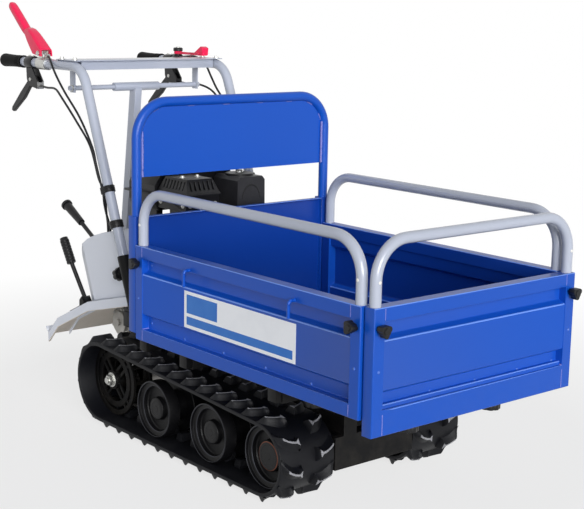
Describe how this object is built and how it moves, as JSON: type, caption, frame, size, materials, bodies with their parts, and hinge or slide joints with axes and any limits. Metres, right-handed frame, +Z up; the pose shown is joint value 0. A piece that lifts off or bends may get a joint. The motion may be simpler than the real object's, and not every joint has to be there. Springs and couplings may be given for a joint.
{
  "type": "tracked power carrier",
  "caption": "Walk-behind power carrier on rubber tracks, with an extending, forward-tipping blue load box, tube hoops, headboard, engine and handlebar controls.",
  "frame": {"origin": "on the ground, under the middle of the machine's length and width", "axes": "+X to the front of the load box, away from the driver; +Y to the machine's left; +Z up"},
  "size_m": [1.6903, 0.6916, 1.122],
  "materials": {
    "blue_paint": "gloss royal blue paint",
    "silver_paint": "satin silver-grey paint",
    "guard_paint": "satin light grey paint",
    "black_paint": "satin black paint",
    "track_rubber": "moulded black rubber, lug tops worn grey",
    "wheel_plastic": "moulded black",
    "rubber": "matte black rubber",
    "black_plastic": "moulded black",
    "engine_black": "black painted casting",
    "cast_aluminium": "bare casting",
    "lever_red": "gloss red",
    "pulley_steel": "turned steel"
  },
  "bodies": {
    "chassis": {"main_frame": "black_paint", "engine_deck": "black_paint", "right_track": "track_rubber", "left_track": "track_rubber", "gearbox": "cast_aluminium", "engine_block": "engine_black", "muffler_guard": "black_plastic", "air_box": "black_plastic", "fuel_tank": "black_plastic", "belt_cover": "guard_paint", "rear_guard": "guard_paint", "handlebar_sockets": "black_paint", "drive_belt": "rubber", "lever_stands": "black_paint"},
    "load_bed": {"bed_frame": "black_paint", "bed_floor": "blue_paint", "rear_panel": "blue_paint", "headboard": "blue_paint"},
    "handlebar": {"handlebar": "silver_paint", "bar_shelf": "silver_paint", "grips": "rubber", "cables": "rubber", "cable_bands": "rubber", "lever_mounts": "black_plastic"},
    "right_sprocket": {"right_sprocket": "black_paint"},
    "right_rear_wheel": {"right_rear_wheel": "wheel_plastic"},
    "right_front_wheel": {"right_front_wheel": "wheel_plastic"},
    "right_idler": {"right_idler": "wheel_plastic"},
    "left_sprocket": {"left_sprocket": "black_paint"},
    "left_rear_wheel": {"left_rear_wheel": "wheel_plastic"},
    "left_front_wheel": {"left_front_wheel": "wheel_plastic"},
    "left_idler": {"left_idler": "wheel_plastic"},
    "gearbox_pulley": {"gearbox_pulley": "pulley_steel"},
    "engine_pulley": {"engine_pulley": "pulley_steel"},
    "right_panel": {"right_panel": "blue_paint"},
    "left_panel": {"left_panel": "blue_paint"},
    "front_panel": {"front_panel": "blue_paint"},
    "right_hoop": {"right_hoop": "silver_paint"},
    "left_hoop": {"left_hoop": "silver_paint"},
    "front_hoop": {"front_hoop": "silver_paint"},
    "right_rear_knob": {"right_rear_knob": "black_plastic"},
    "right_front_knob": {"right_front_knob": "black_plastic"},
    "front_right_knob": {"front_right_knob": "black_plastic"},
    "right_clamp_knob": {"right_clamp_knob": "black_plastic"},
    "front_right_clamp_knob": {"front_right_clamp_knob": "black_plastic"},
    "left_rear_knob": {"left_rear_knob": "black_plastic"},
    "left_front_knob": {"left_front_knob": "black_plastic"},
    "front_left_knob": {"front_left_knob": "black_plastic"},
    "left_clamp_knob": {"left_clamp_knob": "black_plastic"},
    "front_left_clamp_knob": {"front_left_clamp_knob": "black_plastic"},
    "brace_tube": {"brace_tube": "silver_paint"},
    "brace_foot": {"brace_foot": "black_paint"},
    "right_bar_knob": {"right_bar_knob": "black_plastic"},
    "left_bar_knob": {"left_bar_knob": "black_plastic"},
    "clutch_lever": {"clutch_lever": "lever_red"},
    "right_steering_lever": {"right_steering_lever": "black_plastic"},
    "left_steering_lever": {"left_steering_lever": "black_plastic"},
    "throttle_lever": {"throttle_lever": "lever_red"},
    "gear_lever": {"gear_lever": "black_paint"},
    "tip_lever": {"tip_lever": "black_paint"}
  },
  "joints": [
    {"name": "right_sprocket_spin", "type": "hinge", "parent": "chassis", "child": "right_sprocket", "pos_m": [-0.264, -0.2085, 0.124], "axis": [0, 1, 0], "continuous": true},
    {"name": "right_rear_wheel_spin", "type": "hinge", "parent": "chassis", "child": "right_rear_wheel", "pos_m": [-0.04, -0.2085, 0.1005], "axis": [0, 1, 0], "continuous": true},
    {"name": "right_front_wheel_spin", "type": "hinge", "parent": "chassis", "child": "right_front_wheel", "pos_m": [0.195, -0.2085, 0.1005], "axis": [0, 1, 0], "continuous": true},
    {"name": "right_idler_spin", "type": "hinge", "parent": "chassis", "child": "right_idler", "pos_m": [0.419, -0.2085, 0.104], "axis": [0, 1, 0], "continuous": true},
    {"name": "left_sprocket_spin", "type": "hinge", "parent": "chassis", "child": "left_sprocket", "pos_m": [-0.264, 0.2085, 0.124], "axis": [0, 1, 0], "continuous": true},
    {"name": "left_rear_wheel_spin", "type": "hinge", "parent": "chassis", "child": "left_rear_wheel", "pos_m": [-0.04, 0.2085, 0.1005], "axis": [0, 1, 0], "continuous": true},
    {"name": "left_front_wheel_spin", "type": "hinge", "parent": "chassis", "child": "left_front_wheel", "pos_m": [0.195, 0.2085, 0.1005], "axis": [0, 1, 0], "continuous": true},
    {"name": "left_idler_spin", "type": "hinge", "parent": "chassis", "child": "left_idler", "pos_m": [0.419, 0.2085, 0.104], "axis": [0, 1, 0], "continuous": true},
    {"name": "gearbox_pulley_spin", "type": "hinge", "parent": "chassis", "child": "gearbox_pulley", "pos_m": [-0.37, -0.19, 0.395], "axis": [0, 1, 0], "continuous": true},
    {"name": "engine_pulley_spin", "type": "hinge", "parent": "chassis", "child": "engine_pulley", "pos_m": [-0.225, -0.19, 0.44], "axis": [0, 1, 0], "continuous": true},
    {"name": "bed_tip", "type": "hinge", "parent": "chassis", "child": "load_bed", "pos_m": [0.49, 0, 0.215], "axis": [0, 1, 0], "range_deg": [0, 45]},
    {"name": "right_panel_slide", "type": "slide", "parent": "load_bed", "child": "right_panel", "axis": [0, -1, 0], "range_m": [0, 0.18]},
    {"name": "left_panel_slide", "type": "slide", "parent": "load_bed", "child": "left_panel", "axis": [0, 1, 0], "range_m": [0, 0.18]},
    {"name": "front_panel_slide", "type": "slide", "parent": "load_bed", "child": "front_panel", "axis": [1, 0, 0], "range_m": [0, 0.18]},
    {"name": "right_hoop_slide", "type": "slide", "parent": "right_panel", "child": "right_hoop", "axis": [0, 0, 1], "range_m": [-0.05, 0.06]},
    {"name": "left_hoop_slide", "type": "slide", "parent": "left_panel", "child": "left_hoop", "axis": [0, 0, 1], "range_m": [-0.05, 0.06]},
    {"name": "front_hoop_slide", "type": "slide", "parent": "front_panel", "child": "front_hoop", "axis": [0, 0, 1], "range_m": [-0.05, 0.06]},
    {"name": "right_rear_knob_turn", "type": "hinge", "parent": "right_panel", "child": "right_rear_knob", "pos_m": [-0.016, -0.3215, 0.493], "axis": [0, -1, 0], "range_deg": [0, 180]},
    {"name": "right_front_knob_turn", "type": "hinge", "parent": "right_panel", "child": "right_front_knob", "pos_m": [0.772, -0.3215, 0.493], "axis": [0, -1, 0], "range_deg": [0, 180]},
    {"name": "front_right_knob_turn", "type": "hinge", "parent": "front_panel", "child": "front_right_knob", "pos_m": [0.821, -0.3, 0.493], "axis": [1, 0, 0], "range_deg": [0, 180]},
    {"name": "right_clamp_knob_turn", "type": "hinge", "parent": "load_bed", "child": "right_clamp_knob", "pos_m": [0.49, -0.18, 0.258], "axis": [0, 0, -1], "range_deg": [0, 180]},
    {"name": "front_right_clamp_knob_turn", "type": "hinge", "parent": "load_bed", "child": "front_right_clamp_knob", "pos_m": [0.743, -0.132, 0.258], "axis": [0, 0, -1], "range_deg": [0, 180]},
    {"name": "left_rear_knob_turn", "type": "hinge", "parent": "left_panel", "child": "left_rear_knob", "pos_m": [-0.016, 0.3215, 0.493], "axis": [0, 1, 0], "range_deg": [0, 180]},
    {"name": "left_front_knob_turn", "type": "hinge", "parent": "left_panel", "child": "left_front_knob", "pos_m": [0.772, 0.3215, 0.493], "axis": [0, 1, 0], "range_deg": [0, 180]},
    {"name": "front_left_knob_turn", "type": "hinge", "parent": "front_panel", "child": "front_left_knob", "pos_m": [0.821, 0.3, 0.493], "axis": [1, 0, 0], "range_deg": [0, 180]},
    {"name": "left_clamp_knob_turn", "type": "hinge", "parent": "load_bed", "child": "left_clamp_knob", "pos_m": [0.49, 0.18, 0.258], "axis": [0, 0, -1], "range_deg": [0, 180]},
    {"name": "front_left_clamp_knob_turn", "type": "hinge", "parent": "load_bed", "child": "front_left_clamp_knob", "pos_m": [0.743, 0.132, 0.258], "axis": [0, 0, -1], "range_deg": [0, 180]},
    {"name": "handlebar_height", "type": "slide", "parent": "chassis", "child": "handlebar", "axis": [-0.3746, 0, 0.9272], "range_m": [-0.04, 0.04], "deforming": ["cables"]},
    {"name": "brace_swing", "type": "hinge", "parent": "handlebar", "child": "brace_tube", "pos_m": [-0.515, 0, 0.889], "axis": [0, 1, 0], "range_deg": [-2, 2]},
    {"name": "brace_foot_swing", "type": "hinge", "parent": "chassis", "child": "brace_foot", "pos_m": [-0.6, 0, 0.222], "axis": [0, 1, 0], "range_deg": [-2, 2]},
    {"name": "right_bar_knob_turn", "type": "hinge", "parent": "chassis", "child": "right_bar_knob", "pos_m": [-0.20321, -0.236, 0.432], "axis": [-0.9272, 0, -0.3746], "range_deg": [0, 180]},
    {"name": "left_bar_knob_turn", "type": "hinge", "parent": "chassis", "child": "left_bar_knob", "pos_m": [-0.20321, 0.236, 0.432], "axis": [-0.9272, 0, -0.3746], "range_deg": [0, 180]},
    {"name": "clutch_lever_squeeze", "type": "hinge", "parent": "handlebar", "child": "clutch_lever", "pos_m": [-0.62, -0.236, 0.98], "axis": [0, -1, 0], "range_deg": [0, 32], "stiffness_Nm_per_rad": 3, "springref_deg": -20.05},
    {"name": "right_steering_lever_squeeze", "type": "hinge", "parent": "handlebar", "child": "right_steering_lever", "pos_m": [-0.68, -0.236, 0.905], "axis": [0, 1, 0], "range_deg": [0, 25], "stiffness_Nm_per_rad": 1.5, "springref_deg": -5.73},
    {"name": "left_steering_lever_squeeze", "type": "hinge", "parent": "handlebar", "child": "left_steering_lever", "pos_m": [-0.68, 0.236, 0.905], "axis": [0, 1, 0], "range_deg": [0, 25], "stiffness_Nm_per_rad": 1.5, "springref_deg": -5.73},
    {"name": "throttle_lever_turn", "type": "hinge", "parent": "handlebar", "child": "throttle_lever", "pos_m": [-0.645, 0.236, 0.972], "axis": [0, 0, -1], "range_deg": [0, 60]},
    {"name": "gear_lever_swing", "type": "hinge", "parent": "chassis", "child": "gear_lever", "pos_m": [-0.44, -0.15, 0.33], "axis": [0, 1, 0], "range_deg": [-12, 12]},
    {"name": "tip_lever_swing", "type": "hinge", "parent": "chassis", "child": "tip_lever", "pos_m": [-0.452, -0.212, 0.305], "axis": [0, 1, 0], "range_deg": [-20, 10]}
  ],
  "couplings": [
    {"joint": "right_rear_wheel_spin", "follows": "right_sprocket_spin", "ratio": 1.3243},
    {"joint": "right_front_wheel_spin", "follows": "right_sprocket_spin", "ratio": 1.3243},
    {"joint": "right_idler_spin", "follows": "right_sprocket_spin", "ratio": 1.2564},
    {"joint": "left_rear_wheel_spin", "follows": "left_sprocket_spin", "ratio": 1.3243},
    {"joint": "left_front_wheel_spin", "follows": "left_sprocket_spin", "ratio": 1.3243},
    {"joint": "left_idler_spin", "follows": "left_sprocket_spin", "ratio": 1.2564},
    {"joint": "engine_pulley_spin", "follows": "gearbox_pulley_spin", "ratio": 1.5556},
    {"joint": "brace_swing", "follows": "handlebar_height", "rad_per_m": -0.72697},
    {"joint": "brace_foot_swing", "follows": "handlebar_height", "rad_per_m": -0.72697}
  ]
}
